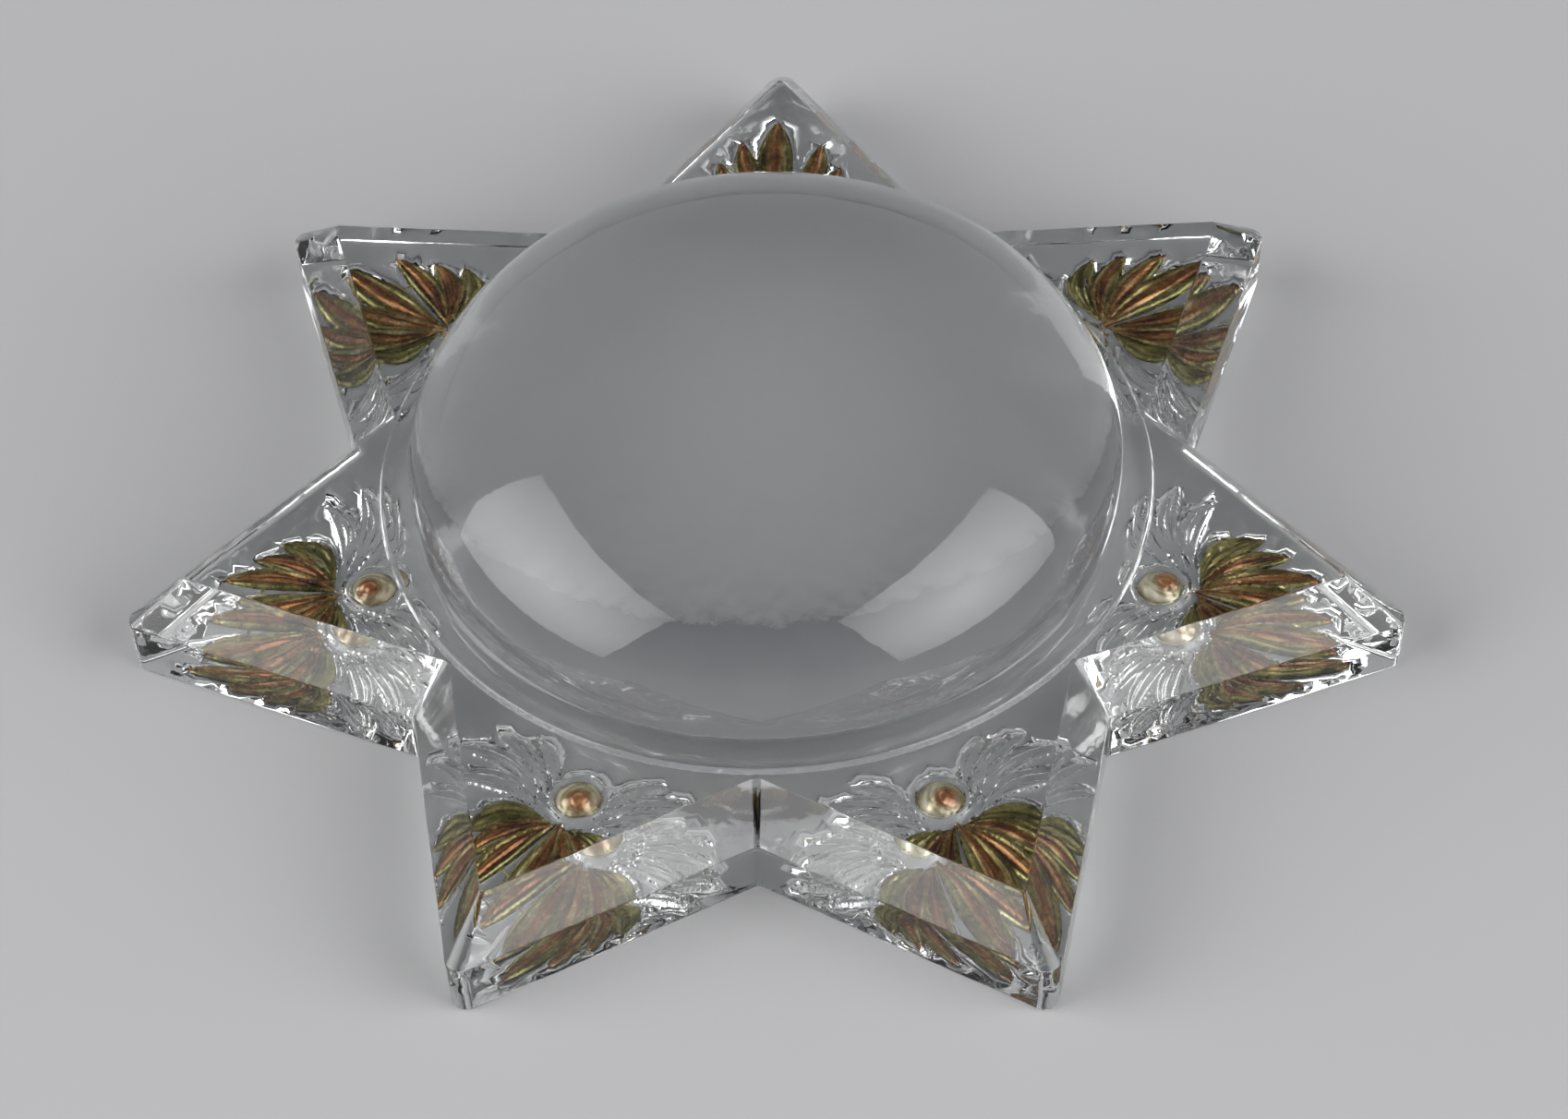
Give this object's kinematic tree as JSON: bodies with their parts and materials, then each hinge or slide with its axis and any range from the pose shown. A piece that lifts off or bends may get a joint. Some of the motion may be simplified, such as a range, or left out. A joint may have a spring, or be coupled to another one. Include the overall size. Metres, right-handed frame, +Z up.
{
  "type": "glass star ornament",
  "caption": "Clear pressed-glass star with bevelled points, a domed glass centre, and stained leaves and berries pressed into the underside.",
  "frame": {"origin": "centre of the star's flat underside, on the axis of the dome", "axes": "+Z up along the axis of the dome and +Y towards one point of the star"},
  "size_m": [0.1576, 0.1536, 0.0416],
  "materials": {
    "clear_glass": "fire-polished clear pressed glass",
    "dome_glass": "polished clear glass",
    "amber_stain": "streaky amber and brown stain on the recessed glass",
    "olive_stain": "olive green stain on the recessed glass",
    "berry_lustre": "brown stained berry with a pale rim"
  },
  "bodies": {
    "root": {"star_plate": "clear_glass", "dome": "dome_glass", "amber_leaf_1": "amber_stain", "amber_leaf_2": "amber_stain", "amber_leaf_3": "amber_stain", "amber_leaf_4": "amber_stain", "amber_leaf_5": "amber_stain", "amber_leaf_6": "amber_stain", "amber_leaf_7": "amber_stain", "olive_leaf_1": "olive_stain", "olive_leaf_2": "olive_stain", "olive_leaf_3": "olive_stain", "olive_leaf_4": "olive_stain", "olive_leaf_5": "olive_stain", "olive_leaf_6": "olive_stain", "olive_leaf_7": "olive_stain", "berry_1": "berry_lustre", "berry_2": "berry_lustre", "berry_3": "berry_lustre", "berry_4": "berry_lustre", "berry_5": "berry_lustre", "berry_6": "berry_lustre", "berry_7": "berry_lustre"}
  },
  "joints": []
}
